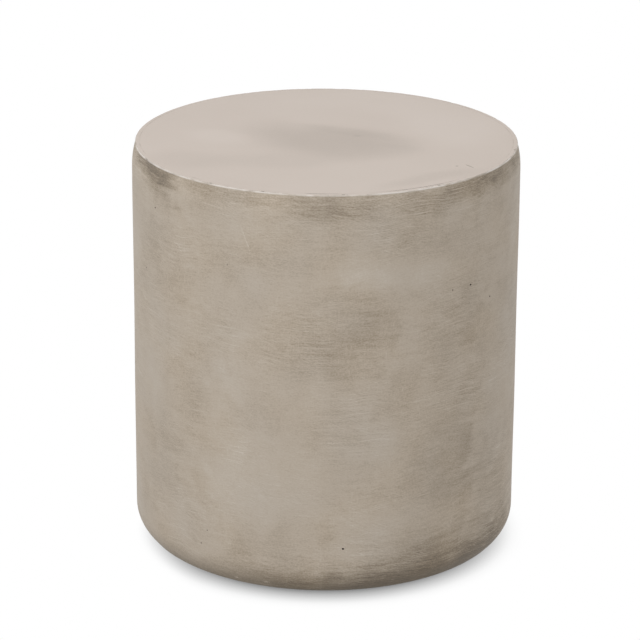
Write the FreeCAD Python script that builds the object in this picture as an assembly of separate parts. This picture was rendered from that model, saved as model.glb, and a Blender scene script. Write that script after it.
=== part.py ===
import FreeCAD
import Part
import math
import os

# Round outdoor side table: a hollow fibre-concrete drum, open underneath, with a slab bedded into
# its rim and four screw-adjusted feet sunk into its base.
# Millimetres and degrees. The origin is on the floor under the middle of the drum and +Z is up.

# Drum wall
drum_diameter = 420.0
drum_height = 450.0  # underside of the casting to the top face
wall_thickness = 13.0
base_thickness = 14.0
base_rounding = 35.0  # outside, where the wall turns under
inner_rounding = 24.0  # the same corner inside the drum
shoulder_drop = 27.0  # the wall leans in over this height below the top face
shoulder_inset = 4.2  # how far it has leaned in at the top face
arris_radius = 1.2
foot_land = 60.0  # width of the flat underside, from the base rounding in to the mouth

# Rim that takes the slab
lip_width = 4.0  # width of the wall's edge left showing round the slab
seat_overhang = 8.0  # ledge's reach past the inside of the wall
seat_height = 14.0  # height of the ledge before it slopes back to the wall

# Top slab and its grout
top_thickness = 18.0
top_edge_radius = 0.6
bed_thickness = 1.2
bed_setback = 2.0  # from the ledge's inner edge
joint_width = 0.8  # between slab and lip
joint_recess = 0.4  # grout's surface below the top face

# Glass-fibre net
net_pitch = 22.0
net_strand = 2.4
net_thickness = 0.9
net_hem = 4.0  # closed border
net_edge_gap = 3.0  # from the ledge's inner edge

# Levelling feet as a set
foot_count = 4
first_foot_angle = 45.0
foot_projection = 3.0  # casting's underside above the floor, with the feet screwed right in
foot_travel = 10.0
stop_gap = 0.3  # between collar and insert, screwed right in
pocket_clearance = 4.0  # round the pad
bearing_clearance = 0.05  # along and across the pad's pivot

# Stem, an M8 screw
stem_radius = 4.0
thread_hold = 10.5  # thread still engaged with the foot right out
thread_clearance = 0.05
stem_tip_chamfer = 1.0
collar_flats = 13.0  # across flats
collar_height = 2.4
pivot_radius = 5.0
flare_radius = 6.5  # riveted end of the pivot
flare_height = 1.2
socket_flats = 5.0
socket_depth = 5.0

# Threaded insert
insert_flange_radius = 11.0
insert_flange_height = 2.0
insert_flats = 14.0  # barrel, across flats
insert_anchor_radius = 10.0
insert_end_wall = 2.5  # closed end, which is the anchor flange
insert_end_gap = 1.5  # between the stem's tip and the closed end

# Boss over each insert
boss_cover = 6.0  # concrete round and above the insert
boss_draft = 6.0  # widening from the boss's top to its foot

# Pad and sole
pad_radius = 18.0
pad_height = 5.9
pad_rim_height = 3.4
pad_rim_ease = 0.8
hub_radius = 10.0
flare_room = 0.4  # round the riveted end
flare_setback = 0.5  # riveted end above the pad's underside
sole_outer_radius = 16.0
sole_inner_radius = 10.0
sole_thickness = 2.4
sole_recess = 1.0  # depth of its groove in the pad

overrun = 5.0  # how far cutters pass the face that they open
tolerance = 0.001  # for finding an edge by its size and place

# Places that follow from the sizes above
drum_radius = drum_diameter / 2
base_z = foot_projection
top_z = base_z + drum_height
inner_radius = drum_radius - wall_thickness
rim_radius = drum_radius - shoulder_inset
lip_inner_radius = rim_radius - lip_width
slab_radius = lip_inner_radius - joint_width
slab_z = top_z - top_thickness
ledge_z = slab_z - bed_thickness
seat_radius = inner_radius - seat_overhang
flat_radius = drum_radius - base_rounding
mouth_radius = flat_radius - foot_land
foot_circle_radius = (flat_radius + mouth_radius) / 2

pad_z = sole_thickness - sole_recess
hub_z = pad_z + pad_height
collar_z = hub_z + bearing_clearance
insert_z = collar_z + collar_height + stop_gap
flare_bore_radius = flare_radius + flare_room
web_z = pad_z + flare_setback + flare_height + bearing_clearance
stem_z = pad_z + flare_setback
thread_engaged = thread_hold + foot_travel
insert_bore_depth = thread_engaged + insert_end_gap
insert_height = insert_bore_depth + insert_end_wall
boss_top_z = insert_z + insert_height + boss_cover

origin = FreeCAD.Vector(0, 0, 0)
up = FreeCAD.Vector(0, 0, 1)


def at(radius, z):
    return FreeCAD.Vector(radius, 0, z)


def line(start, end):
    return Part.LineSegment(start, end).toShape()


def arc(center, radius, start_angle, end_angle):
    def on_arc(angle):
        turn = math.radians(angle)
        return center + at(radius * math.cos(turn), radius * math.sin(turn))

    middle_angle = (start_angle + end_angle) / 2
    return Part.Arc(on_arc(start_angle), on_arc(middle_angle), on_arc(end_angle)).toShape()


def lathe(edges):
    return Part.Face(Part.Wire(edges)).revolve(origin, up, 360)


def outline(points):
    return [line(a, b) for a, b in zip(points, points[1:] + points[:1])]


def disc(radius, z, height):
    return Part.makeCylinder(radius, height, at(0, z))


def hexagon(flats, z, height):
    corner_radius = flats / math.sqrt(3)
    corners = []
    for side in range(6):
        turn = math.radians(60 * side)
        corners.append(FreeCAD.Vector(corner_radius * math.cos(turn), corner_radius * math.sin(turn), z))
    return Part.Face(Part.makePolygon(corners + corners[:1])).extrude(up * height)


def circle_edges(solid, radius, z):
    found = []
    for edge in solid.Edges:
        if not isinstance(edge.Curve, Part.Circle):
            continue
        right_size = abs(edge.Curve.Radius - radius) < tolerance
        if right_size and abs(edge.Curve.Center.z - z) < tolerance:
            found.append(edge)
    return found


def foot_places():
    for index in range(foot_count):
        yield index + 1, first_foot_angle + 360 * index / foot_count


def to_foot(shape, angle):
    placed = shape.copy()
    placed.translate(at(foot_circle_radius, 0))
    placed.rotate(origin, up, angle)
    return placed


def wall_outline():
    # The lean of the shoulder is an arc that leaves the wall without a kink.
    shoulder_radius = (shoulder_drop**2 + shoulder_inset**2) / (2 * shoulder_inset)
    shoulder_turn = math.degrees(math.asin(shoulder_drop / shoulder_radius))
    shoulder_z = top_z - shoulder_drop
    inner_top_z = base_z + base_thickness
    edge_radius = base_thickness / 2
    edge_center = at(mouth_radius + edge_radius, base_z + edge_radius)
    seat_foot_z = ledge_z - seat_height
    rim = [
        at(rim_radius, top_z),
        at(lip_inner_radius, top_z),
        at(lip_inner_radius, ledge_z),
        at(seat_radius, ledge_z),
        at(seat_radius, seat_foot_z),
        at(inner_radius, seat_foot_z - seat_overhang),
        at(inner_radius, inner_top_z + inner_rounding),
    ]
    edges = [
        line(at(edge_center.x, base_z), at(flat_radius, base_z)),
        arc(at(flat_radius, base_z + base_rounding), base_rounding, -90, 0),
        line(at(drum_radius, base_z + base_rounding), at(drum_radius, shoulder_z)),
        arc(at(drum_radius - shoulder_radius, shoulder_z), shoulder_radius, 0, shoulder_turn),
    ]
    edges += [line(a, b) for a, b in zip(rim, rim[1:])]
    edges += [
        arc(at(inner_radius - inner_rounding, inner_top_z + inner_rounding), inner_rounding, 0, -90),
        line(at(inner_radius - inner_rounding, inner_top_z), at(edge_center.x, inner_top_z)),
        arc(edge_center, edge_radius, 90, 270),
    ]
    return edges


def drum_wall():
    wall = lathe(wall_outline())
    wall = wall.makeFillet(arris_radius, circle_edges(wall, rim_radius, top_z))
    boss_top_radius = insert_flange_radius + boss_cover
    boss_z = base_z + base_thickness / 2
    boss = Part.makeCone(boss_top_radius + boss_draft, boss_top_radius, boss_top_z - boss_z, at(0, boss_z))
    pocket = disc(pad_radius + pocket_clearance, base_z - overrun, insert_z - base_z + overrun)
    hollow = pocket.fuse(insert_blank())
    wall = wall.fuse([to_foot(boss, angle) for _, angle in foot_places()])
    return wall.cut([to_foot(hollow, angle) for _, angle in foot_places()])


def table_top():
    slab = disc(slab_radius, slab_z, top_thickness)
    return slab.makeFillet(top_edge_radius, circle_edges(slab, slab_radius, top_z))


def top_grout():
    joint_top_z = top_z - joint_recess
    return lathe(
        outline(
            [
                at(seat_radius + bed_setback, ledge_z),
                at(lip_inner_radius, ledge_z),
                at(lip_inner_radius, joint_top_z),
                at(slab_radius, joint_top_z),
                at(slab_radius, slab_z),
                at(seat_radius + bed_setback, slab_z),
            ]
        )
    )


def top_net():
    net_radius = seat_radius - net_edge_gap
    net_z = slab_z - net_thickness
    gap = net_pitch - net_strand
    inside = Part.Face(Part.Wire(Part.makeCircle(net_radius - net_hem, at(0, net_z))))
    steps = math.ceil(net_radius / net_pitch)
    gaps = []
    for column in range(-steps, steps):
        for row in range(-steps, steps):
            corner = FreeCAD.Vector(column, row, 0) * net_pitch
            corner += FreeCAD.Vector(net_strand / 2, net_strand / 2, net_z)
            gaps += Part.makePlane(gap, gap, corner).common(inside).Faces
    sheet = Part.Face(Part.Wire(Part.makeCircle(net_radius, at(0, net_z))))
    return sheet.cut(gaps).Faces[0].extrude(up * net_thickness)


def insert_blank():
    anchor_z = insert_z + insert_bore_depth
    flange = disc(insert_flange_radius, insert_z, insert_flange_height)
    barrel = hexagon(insert_flats, insert_z, insert_height)
    anchor = disc(insert_anchor_radius, anchor_z, insert_end_wall)
    return flange.fuse([barrel, anchor]).removeSplitter()


def foot_insert():
    bore = disc(stem_radius + thread_clearance, insert_z - overrun, insert_bore_depth + overrun)
    return insert_blank().cut(bore)


def foot_stem():
    tip_z = insert_z + thread_engaged
    stem = lathe(
        outline(
            [
                at(0, stem_z),
                at(flare_radius, stem_z),
                at(flare_radius, stem_z + flare_height),
                at(pivot_radius, stem_z + flare_height),
                at(pivot_radius, collar_z),
                at(stem_radius, collar_z),
                at(stem_radius, tip_z - stem_tip_chamfer),
                at(stem_radius - stem_tip_chamfer, tip_z),
                at(0, tip_z),
            ]
        )
    )
    collar = hexagon(collar_flats, collar_z, collar_height)
    socket = hexagon(socket_flats, stem_z - overrun, socket_depth + overrun)
    return stem.fuse(collar).removeSplitter().cut(socket)


def foot_pad():
    bore_radius = pivot_radius + bearing_clearance
    return lathe(
        outline(
            [
                at(flare_bore_radius, pad_z),
                at(sole_inner_radius, pad_z),
                at(sole_inner_radius, pad_z + sole_recess),
                at(sole_outer_radius, pad_z + sole_recess),
                at(sole_outer_radius, pad_z),
                at(pad_radius - pad_rim_ease, pad_z),
                at(pad_radius, pad_z + pad_rim_ease),
                at(pad_radius, pad_z + pad_rim_height),
                at(hub_radius, hub_z),
                at(bore_radius, hub_z),
                at(bore_radius, web_z),
                at(flare_bore_radius, web_z),
            ]
        )
    )


def foot_sole():
    ring = disc(sole_outer_radius, 0, sole_thickness)
    return ring.cut(disc(sole_inner_radius, -overrun, sole_thickness + 2 * overrun))


def write(node, shape):
    solid = shape.Solids[0]
    if len(shape.Solids) != 1 or not solid.isValid():
        raise ValueError(node + " is not one valid solid")
    solid.exportStep("parts/" + node + ".step")
    print(node, round(solid.Volume), "mm3")


os.makedirs("parts", exist_ok=True)
write("drum_wall", drum_wall())
write("table_top", table_top())
write("top_grout", top_grout())
write("top_net", top_net())
foot_pieces = {
    "foot_insert": foot_insert(),
    "foot_stem": foot_stem(),
    "foot_pad": foot_pad(),
    "foot_sole": foot_sole(),
}
for piece, shape in foot_pieces.items():
    for number, angle in foot_places():
        write(piece + "_" + str(number), to_foot(shape, angle))
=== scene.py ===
import math
import random

import bpy
from mathutils import Euler, Matrix, Vector, noise


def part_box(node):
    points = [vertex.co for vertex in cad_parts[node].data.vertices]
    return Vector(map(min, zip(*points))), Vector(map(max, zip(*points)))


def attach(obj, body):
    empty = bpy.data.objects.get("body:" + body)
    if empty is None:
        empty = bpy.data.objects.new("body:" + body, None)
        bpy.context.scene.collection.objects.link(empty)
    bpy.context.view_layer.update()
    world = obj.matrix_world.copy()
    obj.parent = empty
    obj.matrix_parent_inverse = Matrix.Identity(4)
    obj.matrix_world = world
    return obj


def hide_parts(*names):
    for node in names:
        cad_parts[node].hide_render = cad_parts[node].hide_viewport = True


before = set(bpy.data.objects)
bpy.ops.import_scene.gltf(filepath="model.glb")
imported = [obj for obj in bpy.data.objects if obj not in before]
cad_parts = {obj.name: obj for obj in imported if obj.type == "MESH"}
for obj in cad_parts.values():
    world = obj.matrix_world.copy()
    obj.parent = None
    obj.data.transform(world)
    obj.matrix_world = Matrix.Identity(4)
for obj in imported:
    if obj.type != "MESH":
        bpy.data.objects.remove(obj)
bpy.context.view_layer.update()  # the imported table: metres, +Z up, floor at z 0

mm = 0.001
joinWithin = {"spun": 0.004, "cut": 0.002, "bevelled": 0.01}  # mm, points nearer than this become one
nearFlat = 0.1 * mm  # a face within this of a level belongs to it
random.seed(11)

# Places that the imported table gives
wallLow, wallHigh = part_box("drum_wall")
slabLow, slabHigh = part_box("table_top")
padLow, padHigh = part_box("foot_pad_1")
drumRadius = wallHigh.x
baseZ = wallLow.z
topZ = wallHigh.z
footRadius = math.hypot(padLow.x + padHigh.x, padLow.y + padHigh.y) / 2
footAngles = {1: 45, 2: 135, 3: 225, 4: 315}

photoView = {
    "frame": 640,  # pixels each way
    "sensor": 36.0,  # mm
    "lens": 178.0,  # mm, a long lens from well back
    "distance": 3.487,  # m from the middle of the drum
    "elevation": 19.71,
    "lean": 0.395,  # the picture stands a little crooked
    "middle": (325.1, 335.2),  # pixel on which the middle of the drum falls
}

studio = {
    "dome": 0.75,  # even light from all round
    "keyWatts": 28.0,
    "keySize": 2.4,  # m, a wide soft box
    "keyDistance": 3.0,
    "keyAzimuth": -32.0,  # degrees round to the left of the camera
    "keyElevation": 48.0,
    "floorSize": 24.0,
    "floorColor": "#A8A6A2",  # what the floor throws back up at the drum
    "shadowReach": 75.0,  # mm
    "shadowSamples": 32,
    "shadowTones": [
        (0.0, "#5C5C5C"), (1.0, "#FFFFFF"), (0.03, "#7B7B7B"), (0.095, "#A4A4A4"), (0.155, "#B8B8B8"),
        (0.25, "#C9C9C9"), (0.34, "#DADADA"), (0.42, "#E6E6E6"), (0.49, "#F0F0F0"), (0.55, "#F8F8F8"),
        (0.64, "#FFFFFF"),
    ],
    "litSide": 0.12,  # how much the soft box lifts the shadow at the left
    "litFrom": (-0.13, -0.20),  # m, where that starts and is full
}


def toLinear(hexColor):
    channels = [int(hexColor[at:at + 2], 16) / 255 for at in (1, 3, 5)]
    return [c / 12.92 if c <= 0.04045 else ((c + 0.055) / 1.055) ** 2.4 for c in channels] + [1.0]


def addNode(tree, kind, inputs=(), stops=(), **settings):
    # inputs go by the sockets' names or one after the other, and a node stands for its first output
    node = tree.nodes.new("ShaderNode" + kind)
    for name, value in settings.items():
        setattr(node, name, value)
    for key, value in inputs.items() if isinstance(inputs, dict) else enumerate(inputs):
        if isinstance(value, bpy.types.Node):
            value = value.outputs[0]
        if isinstance(value, bpy.types.NodeSocket):
            tree.links.new(value, node.inputs[key])
        else:
            node.inputs[key].default_value = value
    for index, (position, color) in enumerate(stops):  # the first two stops are the ramp's ends
        stop = node.color_ramp.elements[index] if index < 2 else node.color_ramp.elements.new(position)
        stop.position = position
        stop.color = toLinear(color)
    return node


def newMaterial(name):
    material = bpy.data.materials.new(name)
    material.use_nodes = True
    material.node_tree.nodes.clear()
    coords = addNode(material.node_tree, "TexCoord").outputs["Object"]
    return material, material.node_tree, coords


def finishMaterial(tree, color, finish, height=None):
    # the shader takes its plain numbers from the finish, and its relief from height
    inputs = {"Base Color": color, "Roughness": finish["roughness"]}
    for socket, name in (("IOR", "ior"), ("Specular IOR Level", "specular"), ("Metallic", "metallic")):
        if name in finish:
            inputs[socket] = finish[name]
    if height is not None:
        strength, depth = finish["bump"]
        bump = addNode(tree, "Bump", {"Strength": strength, "Distance": depth * mm, "Height": height})
        inputs["Normal"] = bump
    shader = addNode(tree, "BsdfPrincipled", inputs)
    addNode(tree, "OutputMaterial", {"Surface": shader})


def grainedMaterial(name, finish):
    # one noise carries both the change of colour and the grain of the surface
    material, tree, coords = newMaterial(name)
    size, detail = finish["grain"]
    grain = addNode(tree, "TexNoise", {"Vector": coords, "Scale": 1000 / size, "Detail": detail})
    color = addNode(tree, "ValToRGB", {"Fac": grain}, stops=finish["tones"])
    finishMaterial(tree, color, finish, grain if "bump" in finish else None)
    return material


# Camera, light and floor

def makeCamera():
    view = photoView
    lift = math.radians(view["elevation"])
    target = Vector((0, 0, (baseZ + topZ) / 2))
    eye = target + view["distance"] * Vector((0, -math.cos(lift), math.sin(lift)))
    pixels = view["frame"] * view["lens"] / view["sensor"]  # focal length in pixels
    aimLeft = math.atan((view["middle"][0] - view["frame"] / 2) / pixels)
    aimUp = math.atan((view["middle"][1] - view["frame"] / 2) / pixels)
    turn = Euler((math.pi / 2 - lift, 0, 0)).to_matrix()
    turn = turn @ Matrix.Rotation(math.radians(view["lean"]), 3, "Z")
    turn = turn @ Matrix.Rotation(aimLeft, 3, "Y") @ Matrix.Rotation(aimUp, 3, "X")
    lens = bpy.data.cameras.new("photoLens")
    lens.lens = view["lens"]
    lens.sensor_width = view["sensor"]
    lens.clip_end = 100
    camera = bpy.data.objects.new("photoCamera", lens)
    camera.matrix_world = Matrix.Translation(eye) @ turn.to_4x4()
    bpy.context.scene.collection.objects.link(camera)
    bpy.context.scene.camera = camera


def seenDirectly(tree):
    # 1 for what the camera sees, straight or by way of something shiny or clear
    path = addNode(tree, "LightPath").outputs
    seen = path["Is Camera Ray"]
    for kind in ("Is Glossy Ray", "Is Transmission Ray"):
        seen = addNode(tree, "Math", (seen, path[kind]), operation="MAXIMUM")
    return seen


def makeLight():
    scene = bpy.context.scene
    scene.view_settings.view_transform = "Standard"
    world = bpy.data.worlds.new("whiteStudio")
    world.use_nodes = True
    tree = world.node_tree
    tree.nodes.clear()
    level = addNode(tree, "MapRange", (seenDirectly(tree), 0.0, 1.0, studio["dome"], 1.0))
    glow = addNode(tree, "Background", {"Color": (1, 1, 1, 1), "Strength": level})
    addNode(tree, "OutputWorld", {"Surface": glow})
    scene.world = world

    around, above = math.radians(studio["keyAzimuth"]), math.radians(studio["keyElevation"])
    flat = math.cos(above)
    toward = Vector((math.sin(around) * flat, -math.cos(around) * flat, math.sin(above)))
    softBox = bpy.data.lights.new("softBox", "AREA")
    softBox.shape = "SQUARE"
    softBox.size = studio["keySize"]
    softBox.energy = studio["keyWatts"]
    key = bpy.data.objects.new("softBox", softBox)
    key.location = Vector((0, 0, topZ / 2)) + toward * studio["keyDistance"]
    key.rotation_euler = toward.to_track_quat("Z", "Y").to_euler()
    scene.collection.objects.link(key)


def makeFloor():
    selectNone()
    bpy.ops.mesh.primitive_plane_add(size=studio["floorSize"], location=(0, 0, 0))
    floor = bpy.context.object
    floor.name = "floor"
    material, tree, coords = newMaterial("white studio floor")
    # painted shadow: what the camera sees of the floor is a tone taken from how closely the table hems each
    # point in, made lighter at the left as if by the soft box
    shade = addNode(
        tree, "AmbientOcclusion", {"Distance": studio["shadowReach"] * mm}, samples=studio["shadowSamples"]
    )
    axes = addNode(tree, "SeparateXYZ", (coords,)).outputs
    lit = addNode(
        tree, "MapRange", (axes["X"], *studio["litFrom"], 0.0, studio["litSide"]),
        interpolation_type="SMOOTHSTEP",
    )
    level = addNode(tree, "Math", (shade.outputs["AO"], lit), operation="ADD")
    contact = addNode(tree, "ValToRGB", {"Fac": level}, stops=studio["shadowTones"])
    white = addNode(tree, "Emission", {"Color": contact, "Strength": 1.0})
    bounce = addNode(tree, "BsdfDiffuse", {"Color": toLinear(studio["floorColor"])})
    mix = addNode(tree, "MixShader", (seenDirectly(tree), bounce, white))
    addNode(tree, "OutputMaterial", {"Surface": mix})
    floor.data.materials.append(material)


# Shared ways of shaping

def reach(co):
    return math.hypot(co.x, co.y)  # distance from the upright axis


def lumps(co, size):
    return 0.5 + 0.5 * noise.noise(co / size)


def ramp(value, start, end):
    return min(1.0, max(0.0, (value - start) / (end - start)))


def onWall(angle, height, radius=drumRadius):
    around = math.radians(angle)
    return Vector((radius * math.sin(around), -radius * math.cos(around), height * mm))


def inMetres(outline):
    return [(radius * mm, height * mm) for radius, height in outline]


def arcPoints(center, radius, startAngle, endAngle, steps):
    turns = [math.radians(startAngle + (endAngle - startAngle) * step / steps) for step in range(steps + 1)]
    return [(center[0] + radius * math.cos(turn), center[1] + radius * math.sin(turn)) for turn in turns]


def runPoints(start, end, spacing):
    steps = max(1, round(math.dist(start, end) / spacing))
    return [tuple(a + (b - a) * step / steps for a, b in zip(start, end)) for step in range(steps + 1)]


def selectNone():
    bpy.ops.object.select_all(action="DESELECT")


def editAll():
    bpy.ops.object.mode_set(mode="EDIT")
    bpy.ops.mesh.select_all(action="SELECT")


def makeActive(piece):
    selectNone()
    piece.select_set(True)
    bpy.context.view_layer.objects.active = piece


def faceOutwards():
    # all faces of the mesh that is being edited, then back to object mode
    bpy.ops.mesh.select_all(action="SELECT")
    bpy.ops.mesh.normals_make_consistent(inside=False)
    bpy.ops.object.mode_set(mode="OBJECT")


def turnProfile(name, profile, segments):
    # the half outline drawn point by point, then spun once round the upright axis
    selectNone()
    bpy.ops.mesh.primitive_plane_add(size=mm, location=(0, 0, 0))
    piece = bpy.context.object
    piece.name = name
    editAll()
    bpy.ops.mesh.merge(type="CENTER")
    bpy.ops.transform.translate(value=(profile[0][0], 0, profile[0][1]))
    for last, point in zip(profile, profile[1:]):
        if point != last:
            step = (point[0] - last[0], 0, point[1] - last[1])
            bpy.ops.mesh.extrude_vertices_move(TRANSFORM_OT_translate={"value": step})
    bpy.ops.mesh.select_all(action="SELECT")
    bpy.ops.mesh.spin(steps=segments, angle=2 * math.pi, center=(0, 0, 0), axis=(0, 0, 1))
    bpy.ops.mesh.select_all(action="SELECT")
    bpy.ops.mesh.remove_doubles(threshold=joinWithin["spun"] * mm)
    faceOutwards()
    return piece


def applyModifier(piece, kind, **settings):
    modifier = piece.modifiers.new(kind.lower(), kind)
    for name, value in settings.items():
        setattr(modifier, name, value)
    makeActive(piece)
    bpy.ops.object.modifier_apply(modifier=modifier.name)


def sink(piece, depth, weightAt):
    # pushes the surface in along its normals, by depth where weightAt is 1
    group = piece.vertex_groups.new(name="sunk")
    for vertex in piece.data.vertices:
        weight = weightAt(vertex.co)
        if weight > 0:
            group.add([vertex.index], weight, "REPLACE")
    applyModifier(piece, "DISPLACE", vertex_group=group.name, mid_level=0.0, strength=-depth)
    piece.vertex_groups.clear()


def mergeClose(piece, distance):
    # joins points that a cut or a bevel left all but touching
    makeActive(piece)
    editAll()
    bpy.ops.mesh.remove_doubles(threshold=distance)
    bpy.ops.object.mode_set(mode="OBJECT")


def combine(piece, tool, operation):
    applyModifier(
        piece, "BOOLEAN", operation=operation, object=tool, solver="MANIFOLD", material_mode="TRANSFER"
    )
    bpy.data.objects.remove(tool)
    mergeClose(piece, joinWithin["cut"] * mm)


def copyTurned(piece, name, matrix):
    copy = piece.copy()
    copy.name = name
    copy.data = piece.data.copy()
    copy.data.transform(matrix)
    bpy.context.scene.collection.objects.link(copy)
    return copy


def joinInto(first, others):
    makeActive(first)
    for other in others:
        other.select_set(True)
    bpy.ops.object.join()


def scatterLumps(spots):
    # one pebble shape copied to each spot and size, joined as one tool
    selectNone()
    bpy.ops.mesh.primitive_ico_sphere_add(subdivisions=2, radius=1.0, location=(0, 0, 0))
    pebble = bpy.context.object
    copies = []
    for spot, around, size in spots:
        seat = Matrix.LocRotScale(spot, Euler((0, 0, math.radians(around))), Vector(size) * mm)
        copies.append(copyTurned(pebble, "pebble", seat))
    bpy.data.objects.remove(pebble)
    joinInto(copies[0], copies)
    return copies[0]


def smoothShade(piece, angle=35):
    makeActive(piece)
    bpy.ops.object.shade_smooth_by_angle(angle=math.radians(angle))


def dress(piece, material):
    piece.data.materials.clear()
    piece.data.materials.append(material)


def place(piece, body, node):
    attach(piece, body)
    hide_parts(node)


# Shared ways of colouring

def stretched(tree, coords, lengthMm, widthMm):
    # coordinates in which a noise of scale 1 is this long level with the floor and this high
    stretch = (1000 / lengthMm, 1000 / lengthMm, 1000 / widthMm)
    return addNode(tree, "VectorMath", (coords, stretch), operation="MULTIPLY")


def wandering(tree, coords, layers):
    # shifts coordinates to and fro by noises, so that what is drawn on them has ragged edges
    for layer, reachMm in layers:
        shift = [side * mm for side in reachMm]
        coords = addNode(
            tree, "VectorMath", (layer.outputs["Color"], shift, coords), operation="MULTIPLY_ADD"
        )
    middle = [sum(sides) / 2 * mm for sides in zip(*(reachMm for _, reachMm in layers))]
    return addNode(tree, "VectorMath", (coords, middle), operation="SUBTRACT")


def sumLayers(tree, layers):
    # noises added round a middle tone of a half, each by its own amount
    tone = 0.5 - sum(amount for _, amount in layers) / 2
    for layer, amount in layers:
        tone = addNode(tree, "Math", (layer, amount, tone), operation="MULTIPLY_ADD")
    return tone


def softSpot(tree, coords, center, turn, halfSize, fade, strength):
    # an ellipse whose soft edge takes up the share fade of it
    spot = addNode(
        tree, "Mapping",
        {"Vector": coords, "Location": center, "Rotation": turn, "Scale": halfSize}, vector_type="TEXTURE",
    )
    cone = addNode(tree, "TexGradient", {"Vector": spot}, gradient_type="SPHERICAL")
    return addNode(
        tree, "MapRange", (cone.outputs["Fac"], 0.0, fade, 0.0, strength), interpolation_type="SMOOTHSTEP"
    )


def addMarks(tree, coords, tone, marks, grain):
    # each mark lies on the wall, broken up by the grain
    for angle, height, halfWidth, halfHeight, tilt, strength in marks:
        turn = (0, math.radians(tilt), math.radians(angle))
        halfSize = (halfWidth * mm, markShape["reach"] * mm, halfHeight * mm)
        soft = softSpot(tree, coords, onWall(angle, height), turn, halfSize, markShape["fade"], strength)
        tone = addNode(tree, "Math", (soft, grain, tone), operation="MULTIPLY_ADD")
    return tone


# Concrete of the wall

wallFinish = {
    "cloudMm": 110.0,
    "patchMm": 30.0,
    "regionMm": 70.0,  # how far one direction of brushing reaches
    "bandMm": (60.0, 7.0),  # length and width of one pass of the brush
    "gritMm": (1.9, 1.3),  # drawn coarser than sand so that it shows
    "layers": (0.28, 0.29, 0.11, 0.41),  # how much cloud, patch, band and grit change the tone
    "strokeMm": (24.0, 0.75),  # length and width of a stroke, coarser than the bristles for the same reason
    "slopes": (0.42, -0.30),  # how steeply the slanting strokes fall to the right
    "strokeDepth": (0.095, 0.085, 0.075),  # strength of the level strokes and of each slanting set
    "strokeSpan": (0.3, 0.7),  # noise at which a stroke is darkest and palest
    "strokeHold": (0.35, 0.7, 0.25),  # where a set starts to show, shows fully, and its least share
    "strokeRelief": 3.0,
    "sweepMm": 26.0,  # how far the level strokes rise and fall
    # thin pale lines where the brush ran dry, level, slanting and upright: length round, height, strength
    "hairs": [(40.0, 0.7, 0.36), (12.0, 0.8, 0.3), (0.8, 6.0, 0.18)],
    "hairSpan": (0.58, 0.76),
    "hairHold": (0.45, 0.6),
    "hairRelief": 2.0,
    # the painted shade among the marks is pulled about and broken up in the same way as the wash
    "wanderMm": [(50, 50, 22), (40, 40, 12)],  # how far patch and band pull the edges of the wash about
    "washAndShadeSpan": (0.75, 1.25, 1.2, 0.8),  # the wash lies thicker in dark strokes
    "skipSpan": (0.35, 0.55),  # grit at which a scratch breaks off
    # painted shade round the foot, darker towards the floor where the base turns under
    "paintedFootShade": (32, 6, -0.2),  # mm up from the floor where it starts and is full, strength
    # the deepest tone is mostly painted shade on the lower right and along the foot
    "least": (0.22, -0.03, 0.2),  # of the relief that the deepest wash still shows: share, start, softness
    "tones": [(0.0, "#6D6254"), (1.0, "#DFD7CD"), (0.25, "#A49684"), (0.50, "#C4B7A7"), (0.75, "#CFC5B8")],
    "tint": (0.3, 0.7, 0.93, 1.07),  # some regions are greyer, some browner
    # the pale arris colour is wear and also a painted highlight where the arris catches the light
    "wearAndHighlight": "#E1DAD3",
    "wearAndHighlightMm": (1.9, 1.0),  # below the top, where the wear along the arris starts and is full
    "wearAndHighlightSpan": (0.3, 0.55),  # patch at which it breaks off
    "bump": (0.2, 0.3),  # strength, and height in mm
    "roughness": 0.62,
    "ior": 1.5,
    "specular": 0.5,
}

markShape = {"reach": 120.0, "fade": 0.9}  # mm into the wall, share of a mark that its soft edge takes up

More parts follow.
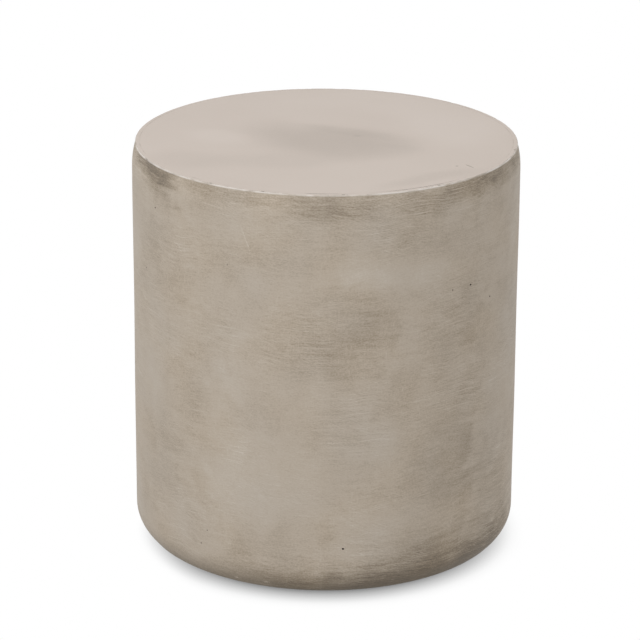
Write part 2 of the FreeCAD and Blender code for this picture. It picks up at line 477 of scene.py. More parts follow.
# Dark wash and rubbed pale places on the front, and among them painted shade on the left side, the lower
# right and the foot, and a painted sheen on the right edge
# angle round from the front (right is positive), height, half width, half height in mm, tilt, strength
wallMarks = [
    (-66, 451, 74, 19, 0, -0.42),
    (-56, 438, 54, 26, 8, -0.17),
    # painted shade: this mark and the broad one two lines down darken the left side, where the soft box
    # falls, and the pale one between lightens it at mid height
    (-58, 350, 80, 110, 0, -0.07),
    (-62, 212, 60, 60, 0, 0.06),
    (-50, 130, 90, 80, 0, -0.07),
    # painted sheen: a pale strip down the right edge, where the wall is seen at a grazing angle
    (72, 375, 50, 70, 0, 0.07),
    (-55, 430, 44, 30, 10, -0.12),
    (-40, 449, 80, 12, 0, -0.14),
    (-22, 446, 50, 18, 0, -0.12),
    (1, 441, 80, 24, 0, -0.24),
    (26, 442, 64, 26, 12, -0.15),
    (47, 446, 78, 24, 0, -0.26),
    (67, 446, 70, 20, 0, -0.30),
    (30, 402, 120, 24, 16, -0.04),
    (-38, 246, 100, 28, -58, -0.06),
    (0, 300, 110, 74, 0, -0.08),
    (2, 190, 60, 46, 0, -0.07),
    (42, 215, 60, 150, 0, -0.07),
    (46, 130, 16, 100, 0, -0.07),
    (40, 312, 60, 70, 0, -0.06),
    # painted shade: this mark and the seven after it darken the lower right and the foot
    (33, 118, 80, 70, 0, -0.11),
    (62, 100, 100, 100, 0, -0.12),
    (70, 40, 60, 46, 0, -0.12),
    (46, 24, 180, 50, 0, -0.41),
    (34, 8, 160, 22, 0, -0.20),
    (6, 18, 120, 38, 0, -0.25),
    (-20, 28, 100, 30, 0, -0.10),
    (32, 60, 90, 32, 0, -0.10),
    (-26, 244, 80, 54, 0, 0.07),
    (-20, 320, 90, 60, 0, 0.07),
    (-22, 132, 110, 80, 0, 0.12),
    (18, 366, 100, 27, 3, 0.15),
    (10, 366, 50, 16, 6, 0.07),
    (12, 94, 56, 28, 0, 0.08),
    (-2, 232, 74, 30, 0, 0.06),
    (-22, 417, 80, 28, 0, 0.07),
]

# The same hand's work on the rest of the drum, but the second row is painted shade along the foot: how many
# marks, heights, half widths, half heights, strengths
wallRounds = [
    (9, (442, 450), (40, 80), (10, 24), (-0.32, -0.12)),
    (7, (12, 28), (70, 150), (18, 42), (-0.32, -0.12)),
    (8, (80, 400), (50, 110), (40, 110), (-0.11, -0.05)),
    (8, (80, 400), (50, 110), (30, 70), (0.06, 0.12)),
]
roundsFrom, roundsSpan = 82, 196  # degrees, which leaves the front alone

# Thin pale scratches and chips, given as the marks are
wallScratches = [
    (-23, 400, 24, 1.0, 68, 0.32),
    (2, 183, 26, 1.0, 0, 0.30),
    (-17.5, 17, 5, 2.5, 0, 0.5),
    (-27.4, 16, 4, 2.5, 0, 0.5),
]


def marksRound():
    marks = list(wallMarks)
    for count, heights, widths, talls, strengths in wallRounds:
        for index in range(count):
            angle = roundsFrom + roundsSpan * (index + random.uniform(0.2, 0.8)) / count
            spread = [random.uniform(*limits) for limits in (heights, widths, talls)]
            marks.append((angle, *spread, random.uniform(-15, 15), random.uniform(*strengths)))
    return marks


def brushedConcrete():
    # fibre concrete, washed and dry-brushed by hand, sealed matt: cloudy grey-brown, fine strokes, no shine;
    # its marks also hold painted shade on the left, the lower right and the foot, a painted sheen on the
    # right edge and a painted highlight along the arris
    material, tree, coords = newMaterial("dry-brushed fibre concrete")
    finish = wallFinish
    axes = addNode(tree, "SeparateXYZ", (coords,)).outputs
    front = addNode(tree, "Math", (axes["Y"], -1.0), operation="MULTIPLY")
    around = addNode(tree, "Math", (axes["X"], front), operation="ARCTAN2")
    girth = addNode(tree, "Math", (around, drumRadius), operation="MULTIPLY")

    cloud = addNode(tree, "TexNoise", {"Vector": coords, "Scale": 1000 / finish["cloudMm"], "Detail": 3.0})
    patch = addNode(
        tree, "TexNoise",
        {"Vector": coords, "Scale": 1000 / finish["patchMm"], "Detail": 5.0, "Distortion": 0.6},
    )
    region = addNode(
        tree, "TexNoise", {"Vector": coords, "Scale": 1000 / finish["regionMm"], "Detail": 1.0}
    )
    band, grit = [
        addNode(
            tree, "TexNoise",
            {"Vector": stretched(tree, coords, *finish[size]), "Scale": 1.0, "Detail": 3.0},
        )
        for size in ("bandMm", "gritMm")
    ]
    shares = addNode(tree, "SeparateColor", (region.outputs["Color"],)).outputs
    tone = sumLayers(tree, list(zip((cloud, patch, band, grit), finish["layers"])))
    relief = grit

    def brushOn(tone, relief, mark, hold, rise):
        # adds a set of strokes to the tone and the relief, as far as each region holds it
        stroke = addNode(tree, "Math", (mark, hold), operation="MULTIPLY")
        tone = addNode(tree, "Math", (tone, stroke), operation="ADD")
        relief = addNode(tree, "Math", (stroke, rise, relief), operation="MULTIPLY_ADD")
        return tone, relief

    # level strokes that rise and fall a little, then the slanting sets
    sweep = (0, 0, finish["sweepMm"] * mm)
    swept = addNode(tree, "VectorMath", (cloud.outputs["Color"], sweep, coords), operation="MULTIPLY_ADD")
    ways = [swept]
    for slope in finish["slopes"]:
        across = addNode(tree, "Math", (girth, slope, axes["Z"]), operation="MULTIPLY_ADD")
        ways.append(addNode(tree, "CombineXYZ", {"X": girth, "Z": across}))
    strokes = [
        addNode(
            tree, "TexNoise",
            {
                "Vector": stretched(tree, way, *finish["strokeMm"]), "Scale": 1.0, "Detail": 2.0,
                "Roughness": 0.6,
            },
        )
        for way in ways
    ]
    for stroke, share, depth in zip(strokes, shares, finish["strokeDepth"]):
        sharp = addNode(tree, "MapRange", (stroke, *finish["strokeSpan"], -depth, depth))
        held = addNode(tree, "MapRange", (share, *finish["strokeHold"]))
        tone, relief = brushOn(tone, relief, sharp, held, finish["strokeRelief"])
    for way, share, hair in zip((ways[0], ways[1], coords), ("Green", "Red", "Blue"), finish["hairs"]):
        *size, strength = hair
        thin = addNode(
            tree, "TexNoise", {"Vector": stretched(tree, way, *size), "Scale": 1.0, "Detail": 2.0}
        )
        pale = addNode(tree, "MapRange", (thin, *finish["hairSpan"], 0.0, strength))
        dry = addNode(tree, "MapRange", (shares[share], *finish["hairHold"]))
        tone, relief = brushOn(tone, relief, pale, dry, finish["hairRelief"])

    # the wash and the painted shade among the marks, the scratches, and the painted shade along the foot
    ragged = wandering(tree, coords, list(zip((patch, band), finish["wanderMm"])))
    streaky = addNode(tree, "Math", (band, strokes[0]), operation="ADD")
    thick = addNode(tree, "MapRange", (streaky, *finish["washAndShadeSpan"]))
    tone = addMarks(tree, ragged, tone, marksRound(), thick)
    skips = addNode(tree, "MapRange", (grit, *finish["skipSpan"]))
    tone = addMarks(tree, coords, tone, wallScratches, skips)
    start, full, strength = finish["paintedFootShade"]
    foot = addNode(
        tree, "MapRange", (axes["Z"], start * mm, full * mm, 0.0, strength), interpolation_type="SMOOTHSTEP"
    )
    tone = addNode(tree, "Math", (tone, foot), operation="ADD")
    share, start, softness = finish["least"]
    least = addNode(tree, "Math", (relief, share, start), operation="MULTIPLY_ADD")
    tone = addNode(tree, "Math", (tone, least, softness), operation="SMOOTH_MAX")
    color = addNode(tree, "ValToRGB", {"Fac": tone}, stops=finish["tones"])
    tint = addNode(tree, "MapRange", (shares["Blue"], *finish["tint"]))
    color = addNode(tree, "HueSaturation", {"Saturation": tint, "Color": color})

    # wear along the arris and a painted highlight where the arris catches the light
    start, full = finish["wearAndHighlightMm"]
    high = addNode(tree, "MapRange", (axes["Z"], topZ - start * mm, topZ - full * mm))
    broken = addNode(tree, "MapRange", (patch, *finish["wearAndHighlightSpan"]))
    wearAndHighlight = addNode(tree, "Math", (high, broken), operation="MULTIPLY")
    # a Mix of colours has its share and its two colours at 0, 6 and 7, and gives its colour at 2
    edge = addNode(tree, "Mix", {0: wearAndHighlight, 6: color, 7: toLinear(finish["wearAndHighlight"])}, data_type="RGBA")
    finishMaterial(tree, edge.outputs[2], finish, relief)
    return material


# Dust caught dark in the pinholes, with painted shade that darkens them more than their depth alone does
dustAndShadeFinish = {
    "grain": (0.4, 2.0),  # mm, detail
    "tones": [(0.3, "#39322B"), (0.75, "#5F564C")],
    "roughness": 0.95,
    "ior": 1.5,
}

# Fibre concrete sprayed and rolled by hand from inside: rough, dusty, darker
backingFinish = {
    "grain": (14.0, 6.0),
    "tones": [(0.25, "#8F857A"), (0.8, "#B9B0A5")],
    "bump": (0.6, 1.5),
    "roughness": 0.92,
    "ior": 1.5,
}

castFinish = {
    "cloudMm": 45.0,
    "tones": [(0.3, "#A3998D"), (0.7, "#C3BAAF")],
    "poreMm": 7.0,
    "poreEdge": (0.09, 0.15),
    "poreColor": "#6F665B",
    "bump": (0.4, 0.4),
    "roughness": 0.85,
    "ior": 1.5,
}


def castConcrete():
    # cast on the mould's floor and left bare: grey, open pores, pale where it has been dragged
    material, tree, coords = newMaterial("bare mould-cast fibre concrete")
    finish = castFinish
    cloud = addNode(
        tree, "TexNoise",
        {"Vector": coords, "Scale": 1000 / finish["cloudMm"], "Detail": 6.0, "Roughness": 0.6},
    )
    color = addNode(tree, "ValToRGB", {"Fac": cloud}, stops=finish["tones"])
    pores = addNode(
        tree, "TexVoronoi", {"Vector": coords, "Scale": 1000 / finish["poreMm"], "Randomness": 1.0}
    )
    filled = addNode(tree, "MapRange", (pores, *finish["poreEdge"]))
    shade = addNode(tree, "Mix", {0: filled, 6: toLinear(finish["poreColor"]), 7: color}, data_type="RGBA")
    finishMaterial(tree, shade.outputs[2], finish, filled)
    return material


# Drum wall

wallShape = {  # mm
    "wall": 13.0,
    "baseThickness": 14.0,
    "baseRounding": 35.0,
    "innerRounding": 24.0,
    "shoulderDrop": 27.0,
    "shoulderInset": 4.2,
    "arrisRadius": 1.2,
    "footLand": 60.0,
    "lipWidth": 4.0,
    "seatOverhang": 8.0,
    "seatHeight": 14.0,
    "slabThickness": 18.0,
    "bed": 1.2,
}

wallMesh = {
    "segments": 400,  # round the drum
    "rows": {"outside": 3.4, "base": 9.0, "lip": 1.6, "seat": 7.0, "slope": 6.0, "inside": 12.0},  # mm apart
    "arcs": {"base": 18, "shoulder": 8, "arris": 5, "inner": 6, "mouth": 8},  # steps
    "shoulderShare": 0.965,  # the arris takes over just before the shoulder's end
}

handWork = {  # mm
    "waveDepth": 0.8,  # how far the hand-finished wall dips
    "waveLength": 110.0,
    "waveSkin": 12.0,  # only so near the outside
    "waveFrom": 5.0,  # up from the floor
    "waveTo": 1.6,  # down from the top
    "chipDepth": 0.3,
    "chipLength": 6.0,
    "chipSkin": 6.6,
    "chipTo": 2.2,  # down from the top
    "chipSpan": (0.56, 0.85),
    "rolledDepth": 3.0,  # of the backing's lumps
    "rolledLumps": [(0.7, 34.0), (0.3, 13.0)],  # share, size
    "rolledSkin": 1.0,
    "rolledFrom": 12.0,  # up from the base
    "rolledTo": 42.0,  # down from the top
    "strayPits": 60,
    "strayLimits": [(75, 285), (45, 420), (0.4, 1.0)],  # angle, height, radius
    "pitShape": (1.0, 2.0, 0.8),  # a pit runs in twice as far as it is wide
}

# Pinholes that show: angle round from the front, height and radius in mm
frontPits = [
    (-65.6, 334, 0.9), (-29, 370, 0.7), (-40.3, 354, 0.5), (46.5, 337, 1.2), (39.3, 337, 0.8),
    (56, 315, 1.0), (-65.4, 441, 0.9), (-58.6, 442, 0.9), (-58.8, 408, 1.0), (-36.5, 66, 0.8),
    (-38.8, 49, 0.8), (5.6, 63, 1.35),
]


def wallProfile():
    d = {name: value * mm for name, value in wallShape.items()}
    rows = {name: value * mm for name, value in wallMesh["rows"].items()}
    arcs = wallMesh["arcs"]
    inner = drumRadius - d["wall"]
    rim = drumRadius - d["shoulderInset"]
    lip = rim - d["lipWidth"]
    ledge = topZ - d["slabThickness"] - d["bed"]
    seat = inner - d["seatOverhang"]
    flat = drumRadius - d["baseRounding"]
    edge = d["baseThickness"] / 2
    mouth = flat - d["footLand"] + edge
    innerTop = baseZ + d["baseThickness"]
    seatFoot = ledge - d["seatHeight"]
    shoulderZ = topZ - d["shoulderDrop"]
    shoulder = (d["shoulderDrop"] ** 2 + d["shoulderInset"] ** 2) / (2 * d["shoulderInset"])
    lean = math.degrees(math.asin(d["shoulderDrop"] / shoulder))
    tilt = math.radians(lean)
    ease = d["arrisRadius"]
    arris = (rim - ease * (1 - math.sin(tilt)) / math.cos(tilt), topZ - ease)
    bendZ = baseZ + d["baseRounding"]
    hollow = inner - d["innerRounding"]
    hollowZ = innerTop + d["innerRounding"]
    slopeZ = seatFoot - d["seatOverhang"]
    points = runPoints((mouth, baseZ), (flat, baseZ), rows["base"])
    points += arcPoints((flat, bendZ), d["baseRounding"], -90, 0, arcs["base"])
    points += runPoints((drumRadius, bendZ), (drumRadius, shoulderZ), rows["outside"])
    points += arcPoints(
        (drumRadius - shoulder, shoulderZ), shoulder, 0, lean * wallMesh["shoulderShare"], arcs["shoulder"]
    )
    points += arcPoints(arris, ease, lean, 90, arcs["arris"])
    points += runPoints((arris[0], topZ), (lip, topZ), rows["lip"])
    points += runPoints((lip, topZ), (lip, ledge), rows["seat"])
    points += runPoints((lip, ledge), (seat, ledge), rows["seat"])
    points += runPoints((seat, ledge), (seat, seatFoot), rows["seat"])
    points += runPoints((seat, seatFoot), (inner, slopeZ), rows["slope"])
    points += runPoints((inner, slopeZ), (inner, hollowZ), rows["inside"])
    points += arcPoints((hollow, hollowZ), d["innerRounding"], 0, -90, arcs["inner"])
    points += runPoints((hollow, innerTop), (mouth, innerTop), rows["base"])
    points += arcPoints((mouth, baseZ + edge), edge, 90, 270, arcs["mouth"])
    return points


def wallPits():
    spots = list(frontPits)
    for _ in range(handWork["strayPits"]):
        spots.append([random.uniform(*limits) for limits in handWork["strayLimits"]])
    return [
        (onWall(angle, height), angle, [size * part for part in handWork["pitShape"]])
        for angle, height, size in spots
    ]


footHole = {  # pocket for the pad and the cast-in insert's room, mm
    "pocketRadius": 22.0,
    "insertZ": 10.05,
    "flange": (11.0, 2.0),
    "barrelRadius": 8.1,
    "boreDepth": 22.0,
    "anchor": (10.0, 2.5),
    "bossTop": (17.0, 40.55),
    "bossFoot": (23.0, 10.0),
    "bossEase": 2.0,
    "bossSegments": 48,
    "segments": 64,
    "below": 5.0,  # how far the cutter starts under the base
}


def footBoss():
    (topRadius, topHeight), (footRim, footHeight) = footHole["bossTop"], footHole["bossFoot"]
    ease = footHole["bossEase"]
    outline = [(0, footHeight), (footRim, footHeight)]
    outline += arcPoints((topRadius - ease, topHeight - ease), ease, 10, 90, 4)
    outline += [(0, topHeight)]
    return turnProfile("boss", inMetres(outline), footHole["bossSegments"])


def footHollow():
    low = footHole["insertZ"]
    under = baseZ / mm - footHole["below"]
    pocket, barrel = footHole["pocketRadius"], footHole["barrelRadius"]
    flangeRadius, flangeHeight = footHole["flange"]
    anchorRadius, anchorHeight = footHole["anchor"]
    anchorLow = low + footHole["boreDepth"]
    outline = [
        (0, under), (pocket, under), (pocket, low),
        (flangeRadius, low), (flangeRadius, low + flangeHeight),
        (barrel, low + flangeHeight), (barrel, anchorLow),
        (anchorRadius, anchorLow), (anchorRadius, anchorLow + anchorHeight), (0, anchorLow + anchorHeight),
    ]
    return turnProfile("hollow", inMetres(outline), footHole["segments"])


def toFoot(number):
    return Matrix.Rotation(math.radians(footAngles[number]), 4, "Z") @ Matrix.Translation((footRadius, 0, 0))


def makeWall(smooth, backing, dustAndShade):
    work = handWork
    wall = turnProfile("drumWall", wallProfile(), wallMesh["segments"])
    inner = drumRadius - wallShape["wall"] * mm
    print("wall turned:", len(wall.data.vertices), "points")

    def waves(co):
        outside = reach(co) > drumRadius - work["waveSkin"] * mm
        between = work["waveFrom"] * mm < co.z < topZ - work["waveTo"] * mm
        return lumps(co, work["waveLength"] * mm) if outside and between else 0.0

    def chips(co):
        edge = co.z > topZ - work["chipTo"] * mm and reach(co) > drumRadius - work["chipSkin"] * mm
        return ramp(lumps(co, work["chipLength"] * mm), *work["chipSpan"]) if edge else 0.0

    def rolled(co):
        inside = reach(co) < inner + work["rolledSkin"] * mm
        between = baseZ + work["rolledFrom"] * mm < co.z < topZ - work["rolledTo"] * mm
        if not (inside and between):
            return 0.0
        return sum(share * lumps(co, size * mm) for share, size in work["rolledLumps"])

    sink(wall, work["waveDepth"] * mm, waves)
    sink(wall, work["chipDepth"] * mm, chips)
    sink(wall, -work["rolledDepth"] * mm, rolled)
    print("wall finished by hand")
    finishes = {
        "brushed": brushedConcrete(), "rolled": backing, "smooth": smooth,
        "cast": castConcrete(), "dustAndShade": dustAndShade,
    }
    for finish in finishes.values():
        wall.data.materials.append(finish)
    order = list(finishes)
    for face in wall.data.polygons:
        outward = face.normal.x * face.center.x + face.normal.y * face.center.y
        top, base = face.center.z > topZ - nearFlat, face.center.z < baseZ + nearFlat
        inside = outward < 0 or face.normal.z > 0.9
        kind = "smooth" if top else "cast" if base else "rolled" if inside else "brushed"
        face.material_index = order.index(kind)
    pits = scatterLumps(wallPits())
    pits.data.materials.append(dustAndShade)
    combine(wall, pits, "DIFFERENCE")
    boss, hollow = footBoss(), footHollow()
    for tool in (boss, hollow):
        tool.data.materials.append(backing)
    for number in footAngles:
        combine(wall, copyTurned(boss, "bossCopy", toFoot(number)), "UNION")
        combine(wall, copyTurned(hollow, "hollowCopy", toFoot(number)), "DIFFERENCE")
    bpy.data.objects.remove(boss)
    bpy.data.objects.remove(hollow)
    smoothShade(wall)
    place(wall, "drum", "drum_wall")
    print("wall made:", len(wall.data.polygons), "faces")


# Slab

slabFinish = {
    "cloudMm": 130.0,
    "fineMm": 3.0,
    "layers": (0.2, 0.12),  # how much cloud and fine change the tone
    "wanderMm": (60, 60, 0),
    "markFade": 0.75,
    "markReach": 100.0,  # mm down into the slab
    "tones": [(0.0, "#A69B91"), (1.0, "#D8CEC6"), (0.5, "#C8BCB2")],
    "bump": (0.1, 0.2),
    "roughness": 0.6,
    "ior": 1.5,
    "specular": 0.4,
}

# Soft stains on the top face and a darker band along its front-right edge: x, y, half length, half width in
# mm, turn, strength
slabMarks = [
    (10, -8, 118, 78, -18, -0.24),
    (30, 28, 80, 22, -28, -0.07),
    (40, 8, 6, 5, 0, -0.10),
    (-62, 45, 60, 44, 60, -0.06),
    (-50, -80, 80, 44, 0, -0.08),
    (-140, -80, 70, 60, 0, -0.09),
    (112, -150, 95, 22, 38, -0.11),
    (135, 45, 80, 100, 0, 0.12),
    (-118, 4, 50, 30, -35, 0.12),
    (60, 150, 130, 60, -15, 0.07),
]

slabShape = {  # mm
    "ease": 0.1,
    "row": 6.0,
    "underRow": 16.0,
    "dipDepth": 0.25,
    "dipLength": 90.0,
    "dipMargin": 2.0,
    "scuffs": [(150.5, -99.5, -55, (8, 0.9, 0.4)), (137, -99, 0, (1.8, 0.9, 0.4))],  # x, y, turn, half sizes
}


def smoothConcrete():
    # the slab's cast face, rubbed smooth and sealed: pale, faintly pink, soft clouds
    material, tree, coords = newMaterial("mould-smooth fibre concrete")
    finish = slabFinish
    cloud, fine = [
        addNode(tree, "TexNoise", {"Vector": coords, "Scale": 1000 / finish[size], "Detail": 3.0})
        for size in ("cloudMm", "fineMm")
    ]
    tone = sumLayers(tree, list(zip((cloud, fine), finish["layers"])))
    ragged = wandering(tree, coords, [(cloud, finish["wanderMm"])])
    for x, y, halfLength, halfWidth, angle, strength in slabMarks:
        center = (x * mm, y * mm, topZ)
        halfSize = (halfLength * mm, halfWidth * mm, finish["markReach"] * mm)
        turn = (0, 0, math.radians(angle))
        soft = softSpot(tree, ragged, center, turn, halfSize, finish["markFade"], strength)
        tone = addNode(tree, "Math", (tone, soft), operation="ADD")
    color = addNode(tree, "ValToRGB", {"Fac": tone}, stops=finish["tones"])
    finishMaterial(tree, color, finish, fine)
    return material


def makeSlab(smooth, backing):
    shape = slabShape
    radius, top, bottom = slabHigh.x, slabHigh.z, slabLow.z
    ease, row = shape["ease"] * mm, shape["row"] * mm
    points = runPoints((0, bottom), (radius, bottom), shape["underRow"] * mm)
    points += runPoints((radius, bottom), (radius, top - ease), row)
    points += arcPoints((radius - ease, top - ease), ease, 0, 90, 4)
    points += runPoints((radius - ease, top), (0, top), row)
    slab = turnProfile("tableTop", points, wallMesh["segments"])

    def dips(co):
        onTop = co.z > top - nearFlat and reach(co) < radius - shape["dipMargin"] * mm
        return lumps(co, shape["dipLength"] * mm) if onTop else 0.0

    sink(slab, shape["dipDepth"] * mm, dips)
    for finish in (smooth, backing):
        slab.data.materials.append(finish)
    for face in slab.data.polygons:
        face.material_index = 1 if face.normal.z < -0.5 else 0
    scuffs = [(Vector((x * mm, y * mm, top)), turn, size) for x, y, turn, size in shape["scuffs"]]
    gouge = scatterLumps(scuffs)
    gouge.data.materials.append(backing)
    combine(slab, gouge, "DIFFERENCE")
    smoothShade(slab)
    place(slab, "drum", "table_top")
    print("slab made")


# Grout

groutShape = {  # mm
    "bedInner": 191.0,
    "bedDrop": 1.2,
    "jointOuter": 201.8,
    "recess": 0.02,
    "row": 6.0,
    "jointRow": 0.4,
    "shrinkDepth": 0.05,
    "shrinkLength": 9.0,
    "shrinkSpan": (0.5, 0.8),
    "skin": 0.01,
}

groutFinish = {
    "wipedMm": 16.0,
    "grainMm": 0.8,
    "tones": [(0.0, "#403932"), (0.5, "#C8BCB2"), (0.3, "#B4A99E")],
    "bump": (0.2, 0.1),
    "roughness": 0.8,
    "ior": 1.5,
}

# Where the joint has shrunk to a dark hairline, given as the wall's marks are
groutMarks = [
    (-1, topZ / mm, 36, 30, 0, -0.6),
    (28, topZ / mm, 62, 30, 0, -0.7),
]


def cementGrout():
    # cement slurry wiped flush: the slab's own colour, dark with dirt where it has shrunk
    material, tree, coords = newMaterial("wiped cement grout")
    finish = groutFinish
    wiped, grain = [
        addNode(tree, "TexNoise", {"Vector": coords, "Scale": 1000 / finish[size], "Detail": detail})
        for size, detail in (("wipedMm", 3.0), ("grainMm", 2.0))
    ]
    tone = addMarks(tree, coords, wiped, groutMarks, 1.0)
    color = addNode(tree, "ValToRGB", {"Fac": tone}, stops=finish["tones"])
    finishMaterial(tree, color, finish, grain)
    return material


def makeGrout():
    shape = groutShape
    inner, outer, row = shape["bedInner"] * mm, shape["jointOuter"] * mm, shape["row"] * mm
    low, top = slabLow.z - shape["bedDrop"] * mm, topZ - shape["recess"] * mm
    points = runPoints((inner, low), (outer, low), row)
    points += runPoints((outer, low), (outer, top), row)
    points += runPoints((outer, top), (slabHigh.x, top), shape["jointRow"] * mm)
    points += runPoints((slabHigh.x, top), (slabHigh.x, slabLow.z), row)
    points += runPoints((slabHigh.x, slabLow.z), (inner, slabLow.z), row)
    points.append(points[0])
    grout = turnProfile("topGrout", points, wallMesh["segments"])

    def shrunk(co):
        onTop = co.z > top - shape["skin"] * mm
        return ramp(lumps(co, shape["shrinkLength"] * mm), *shape["shrinkSpan"]) if onTop else 0.0

    sink(grout, shape["shrinkDepth"] * mm, shrunk)
    dress(grout, cementGrout())
    smoothShade(grout)
    place(grout, "drum", "top_grout")
    print("grout made")


# Glass-fibre net under the slab

netShape = {
    "radius": 186.0,  # mm
    "hem": 4.0,
    "hemDrop": (0.8, 0.1),  # of its lower and upper face under the slab
    "hemSegments": 128,
    "pitch": 22.0,
    "strandWidth": 2.4,
    "strandThickness": 0.44,
    "wave": 0.22,  # how far a strand rises and dips at the crossings
    "stepsPerPitch": 4,
}

# Twisted glass rovings in an alkali-proof coating: off-white, slightly glossy, with fine threads
fibreFinish = {
    "grain": (0.5, 2.0),
    "tones": [(0.3, "#C9C4B4"), (0.7, "#E6E2D6")],
    "bump": (0.4, 0.1),
    "roughness": 0.45,
    "ior": 1.55,
}


def wovenStrand(length, middle):
    # a flat strand along X, drawn out step by step over and under the crossings
    shape = netShape
    step = shape["pitch"] * mm / shape["stepsPerPitch"]
    count = 2 * math.ceil(length / 2 / step)
    selectNone()
    bpy.ops.mesh.primitive_plane_add(size=1, location=(0, 0, 0))
    strand = bpy.context.object

    def heightAt(x):
        return middle + shape["wave"] * mm * math.cos(math.pi * x / (shape["pitch"] * mm))

    x = -count * step / 2
    for vertex in strand.data.vertices:
        side, up = vertex.co.x * shape["strandWidth"] * mm, vertex.co.y * shape["strandThickness"] * mm
        vertex.co = (x, side, heightAt(x) + up)
    editAll()
    for _ in range(count):
        rise = heightAt(x + step) - heightAt(x)
        x += step
        bpy.ops.mesh.extrude_region_move(TRANSFORM_OT_translate={"value": (step, 0, rise)})
    faceOutwards()
    return strand


def trimStrand(strand, half):
    makeActive(strand)
    bpy.ops.object.mode_set(mode="EDIT")
    for side in (-1, 1):
        bpy.ops.mesh.select_all(action="SELECT")
        bpy.ops.mesh.bisect(
            plane_co=(side * half, 0, 0), plane_no=(side, 0, 0), use_fill=True, clear_outer=True
        )
    bpy.ops.object.mode_set(mode="OBJECT")


def makeNet():
    shape = netShape
    radius, pitch, hem = shape["radius"] * mm, shape["pitch"] * mm, shape["hem"] * mm
    middle = slabLow.z - (shape["wave"] + shape["strandThickness"] / 2) * mm
    flip = Matrix.Translation((0, 0, 2 * middle)) @ Matrix.Rotation(math.pi, 4, "X")
    longest = wovenStrand(2 * radius, middle)
    rows = math.floor((radius - hem) / pitch)
    strands = []
    for row in range(-rows, rows + 1):
        half = math.sqrt((radius - hem / 2) ** 2 - (row * pitch) ** 2)
        for turn in (0, 90):
            strand = copyTurned(longest, "strand", Matrix.Identity(4))
            if (row + turn // 90) % 2:  # neighbours pass the crossings on the other side
                strand.data.transform(flip)
            trimStrand(strand, half)
            across = Matrix.Translation((0, row * pitch, 0))
            strand.data.transform(Matrix.Rotation(math.radians(turn), 4, "Z") @ across)
            strands.append(strand)
    bpy.data.objects.remove(longest)
    low, high = [slabLow.z - drop * mm for drop in shape["hemDrop"]]
    edge = [(radius - hem, low), (radius, low), (radius, high), (radius - hem, high), (radius - hem, low)]
    net = turnProfile("topNet", edge, shape["hemSegments"])
    joinInto(net, strands)
    dress(net, grainedMaterial("coated glass-fibre rovings", fibreFinish))
    smoothShade(net)
    place(net, "drum", "top_net")
    print("net made:", len(net.data.polygons), "faces")


# Feet

padShape = {  # mm, radius and height round the turned pad
    "outline": [
        (6.9, 1.4), (10, 1.4), (10, 2.4), (16, 2.4), (16, 1.4), (17.2, 1.4), (18, 2.2), (18, 4.8),
        (10, 7.3), (5.05, 7.3), (5.05, 3.15), (6.9, 3.15), (6.9, 1.4),
    ],
    "segments": 72,
    "notches": 18,
    "notchRadius": 1.1,
    "notchCircle": 18.6,
    "notchSides": 20,
    "notchCutter": (20.0, 3.0),  # length, height of its middle
    "ease": 0.18,
}

soleShape = {  # mm, with two grooves for grip
    "outline": [
        (10, 0.3), (10.3, 0), (11.6, 0), (11.9, 0.5), (12.4, 0.5), (12.7, 0), (13.6, 0), (13.9, 0.5),
        (14.4, 0.5), (14.7, 0), (15.7, 0), (16, 0.3), (16, 2.4), (10, 2.4), (10, 0.3),
    ],
    "segments": 72,
}

stemShape = {  # mm
    "outline": [
        (0, 1.9), (6.2, 1.9), (6.5, 2.2), (6.5, 3.1), (5, 3.1), (5, 7.35), (6.3, 7.35), (6.3, 9.6),
        (3.3, 9.75), (3.3, 30.0), (2.8, 30.55), (0, 30.55),
    ],
    "segments": 48,
    "collar": (13.0, 7.35, 9.75),  # across flats, low, high
    "collarEase": 0.35,
    "socket": (5.0, -2.0, 6.9),
    "thread": {
        "radius": 3.97, "root": 3.2, "pitch": 1.25, "crest": 0.16, "foot": 1.1, "low": 10.9,
        "turns": 15, "steps": 24,
    },
}

# Glass-filled nylon from a spark-eroded mould: near-black, dull, fine even grain
nylonFinish = {
    "grain": (0.35, 2.0),
    "tones": [(0.3, "#2C2D2E"), (0.7, "#3B3C3D")],
    "bump": (0.25, 0.05),
    "roughness": 0.5,
    "ior": 1.53,
}

# Solid moulded rubber with a bloom: black, greyish where it has been trodden on
rubberFinish = {
    "grain": (5.0, 4.0),
    "tones": [(0.35, "#1B1B1B"), (0.75, "#383735")],
    "bump": (0.2, 0.1),
    "roughness": 0.85,
    "ior": 1.52,
}

metalFinish = {"filmMm": 4.0, "toolMm": (6.0, 0.12), "bump": (0.15, 0.02), "metallic": 1.0}
steelFinish = {**metalFinish, "tones": [(0.3, "#A9AEB3"), (0.7, "#C9CCCF")], "roughness": 0.34}
brassFinish = {**metalFinish, "tones": [(0.3, "#A8824A"), (0.7, "#C9A465")], "roughness": 0.38}


def turnedMetal(name, finish):
    # bright, with fine marks of the tool round the axis and a cloudy film
    material, tree, coords = newMaterial(name)
    film = addNode(tree, "TexNoise", {"Vector": coords, "Scale": 1000 / finish["filmMm"], "Detail": 3.0})
    color = addNode(tree, "ValToRGB", {"Fac": film}, stops=finish["tones"])
    tooled = stretched(tree, coords, *finish["toolMm"])
    marks = addNode(tree, "TexNoise", {"Vector": tooled, "Scale": 1.0, "Detail": 2.0})
    finishMaterial(tree, color, finish, marks)
    return material


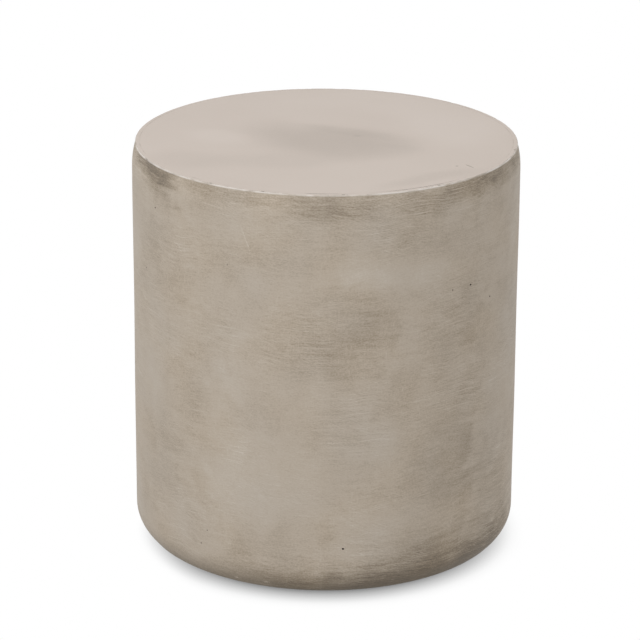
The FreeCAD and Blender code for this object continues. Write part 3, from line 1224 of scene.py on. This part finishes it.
def hexBar(flats, low, high, ease=0.0):
    selectNone()
    bpy.ops.mesh.primitive_cylinder_add(
        vertices=6, radius=flats / math.sqrt(3) * mm, depth=(high - low) * mm,
        location=(0, 0, (low + high) / 2 * mm), rotation=(0, 0, math.pi / 6),
    )
    bpy.ops.object.transform_apply(location=True, rotation=True, scale=True)
    bar = bpy.context.object
    if ease:
        applyModifier(bar, "BEVEL", width=ease * mm, segments=2, limit_method="ANGLE")
    return bar


def threadRidge():
    # the ridge's outline wound up the stem, one pitch a turn
    thread = stemShape["thread"]
    selectNone()
    bpy.ops.mesh.primitive_circle_add(vertices=4, radius=mm, fill_type="NOTHING", location=(0, 0, 0))
    ridge = bpy.context.object
    corners = [
        (thread["root"], -thread["foot"] / 2), (thread["radius"], -thread["crest"] / 2),
        (thread["radius"], thread["crest"] / 2), (thread["root"], thread["foot"] / 2),
    ]
    for vertex, (radius, height) in zip(ridge.data.vertices, corners):
        vertex.co = (radius * mm, 0, (thread["low"] + height) * mm)
    applyModifier(
        ridge, "SCREW", axis="Z", angle=2 * math.pi, screw_offset=thread["pitch"] * mm,
        iterations=thread["turns"], steps=thread["steps"], render_steps=thread["steps"],
    )
    editAll()
    bpy.ops.mesh.fill_holes(sides=8)
    faceOutwards()
    return ridge


def footPad():
    shape = padShape
    pad = turnProfile("pad", inMetres(shape["outline"]), shape["segments"])
    length, middle = shape["notchCutter"]
    selectNone()
    bpy.ops.mesh.primitive_cylinder_add(
        vertices=shape["notchSides"], radius=shape["notchRadius"] * mm, depth=length * mm,
        location=(shape["notchCircle"] * mm, 0, middle * mm),
    )
    bpy.ops.object.transform_apply(location=True)
    notch = bpy.context.object
    for index in range(shape["notches"]):
        turn = Matrix.Rotation(2 * math.pi * index / shape["notches"], 4, "Z")
        combine(pad, copyTurned(notch, "notchCopy", turn), "DIFFERENCE")
    bpy.data.objects.remove(notch)
    applyModifier(pad, "BEVEL", width=shape["ease"] * mm, segments=2, limit_method="ANGLE")
    mergeClose(pad, joinWithin["bevelled"] * mm)
    dress(pad, grainedMaterial("moulded nylon", nylonFinish))
    return pad


def footSole():
    sole = turnProfile("sole", inMetres(soleShape["outline"]), soleShape["segments"])
    dress(sole, grainedMaterial("moulded rubber", rubberFinish))
    return sole


def footStem():
    shape = stemShape
    stem = turnProfile("stem", inMetres(shape["outline"]), shape["segments"])
    combine(stem, hexBar(*shape["collar"], ease=shape["collarEase"]), "UNION")
    combine(stem, threadRidge(), "UNION")
    combine(stem, hexBar(*shape["socket"]), "DIFFERENCE")
    dress(stem, turnedMetal("zinc-plated turned steel", steelFinish))
    return stem


def makeFeet():
    kinds = {
        "foot_pad": (footPad(), "foot", "pad_nylon"),
        "foot_sole": (footSole(), "foot", "sole_rubber"),
        "foot_stem": (footStem(), "screw", "stem_steel"),
    }
    for node, (model, body, slot) in kinds.items():
        smoothShade(model, 30)
        first, second = node.split("_")
        for number in footAngles:
            piece = copyTurned(model, first + second.title() + str(number), toFoot(number))
            place(piece, body + "_" + str(number), node + "_" + str(number))
        bpy.data.objects.remove(model)
    brass = turnedMetal("turned brass", brassFinish)
    for number in footAngles:
        dress(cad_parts["foot_insert_" + str(number)], brass)
    print("feet made")


makeCamera()
makeLight()
makeFloor()
print("studio ready")
smooth = smoothConcrete()
backing = grainedMaterial("rolled fibre-concrete backing", backingFinish)
dustAndShade = grainedMaterial("dust in pinholes", dustAndShadeFinish)
makeWall(smooth, backing, dustAndShade)
makeSlab(smooth, backing)
makeGrout()
makeNet()
makeFeet()
